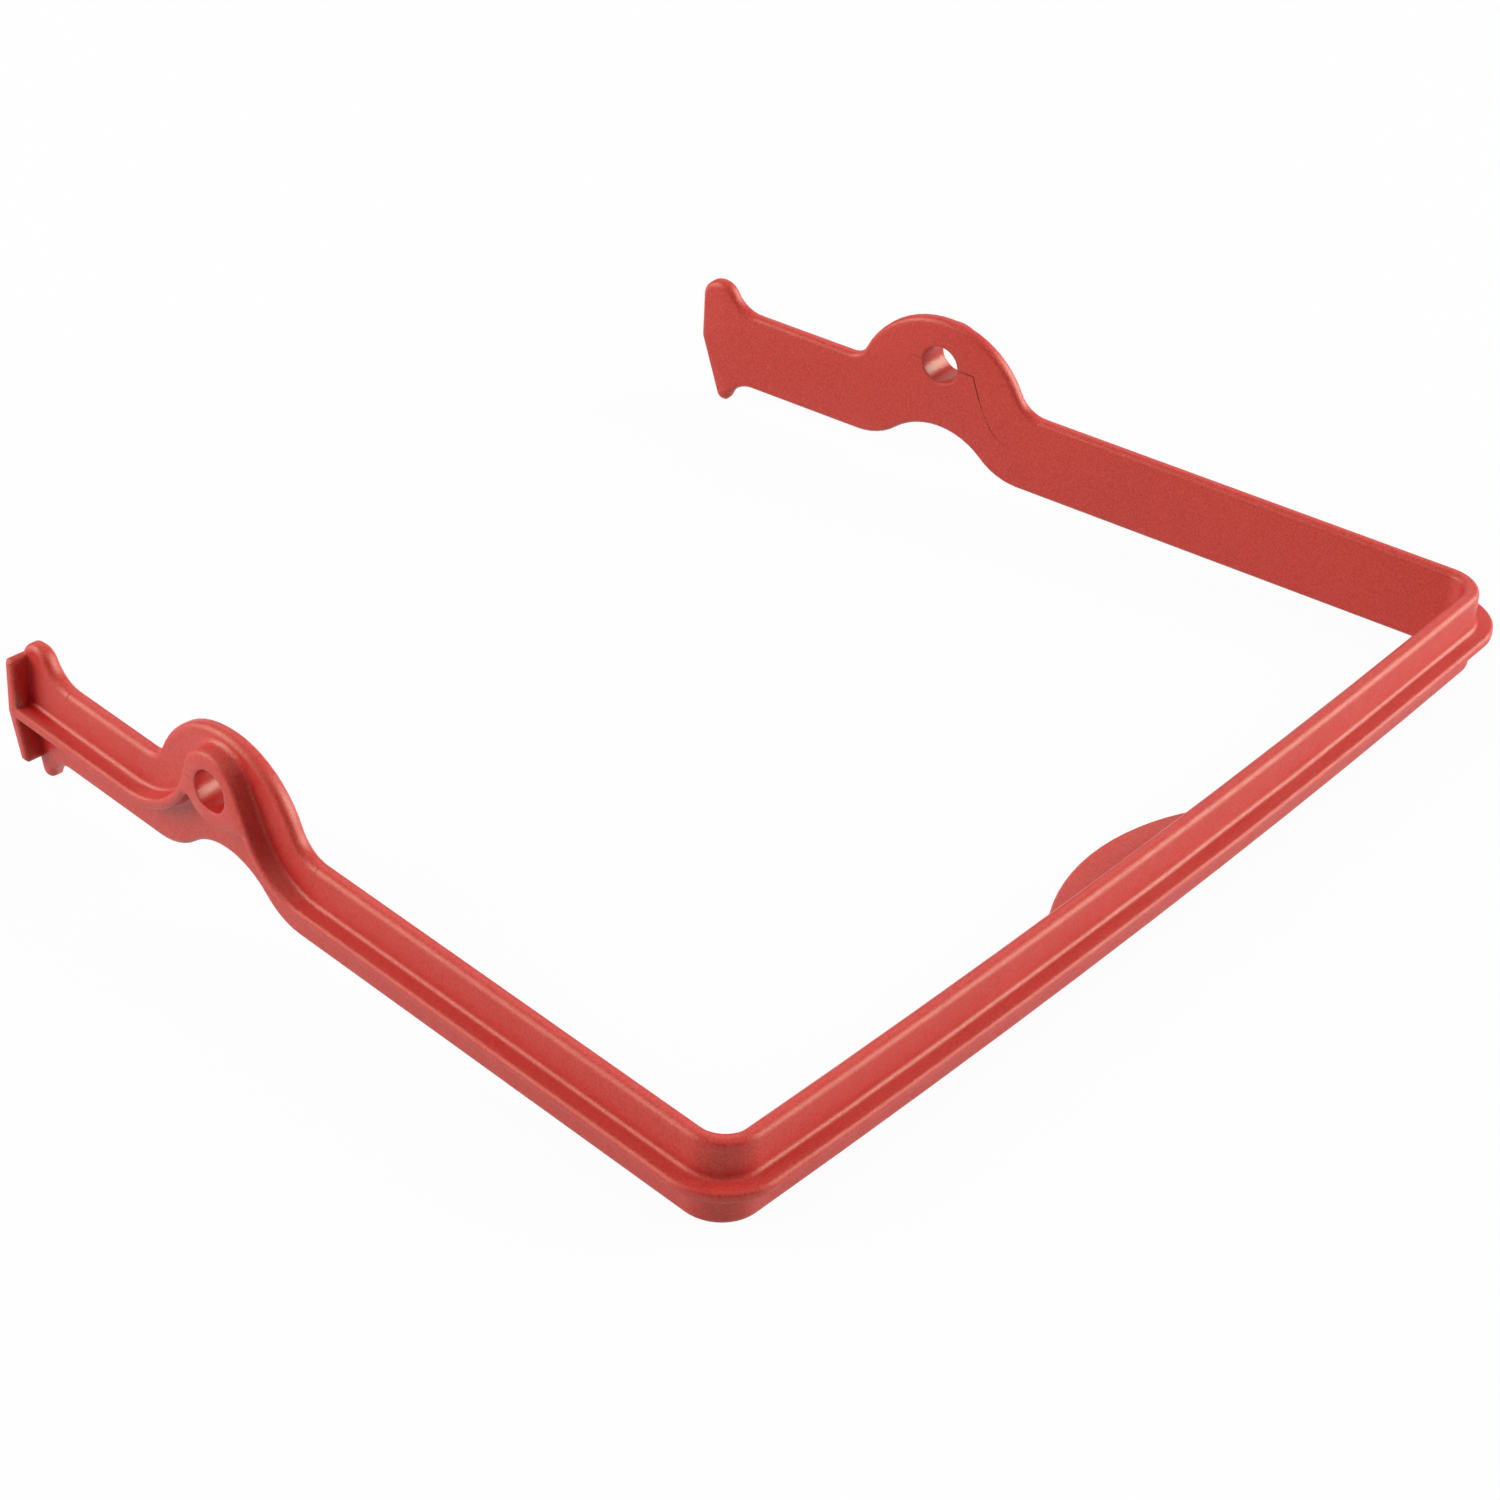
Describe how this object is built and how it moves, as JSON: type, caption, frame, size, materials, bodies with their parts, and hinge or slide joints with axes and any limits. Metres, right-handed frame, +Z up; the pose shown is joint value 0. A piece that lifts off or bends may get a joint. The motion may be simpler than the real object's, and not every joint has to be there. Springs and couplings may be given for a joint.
{
  "type": "locking bail",
  "caption": "Moulded U-shaped locking bail with a bowed crossbar, thumb tab, ribbed toed-in arms, humped pivot bosses and forked tails.",
  "frame": {"origin": "bottom centre of the bounding box", "axes": "+X along the crossbar, +Y from the crossbar to the tails, +Z up across the band, humps upwards"},
  "size_m": [0.208, 0.166, 0.0327],
  "materials": {
    "red_plastic": "satin"
  },
  "bodies": {
    "root": {"bail": "red_plastic"}
  },
  "joints": []
}
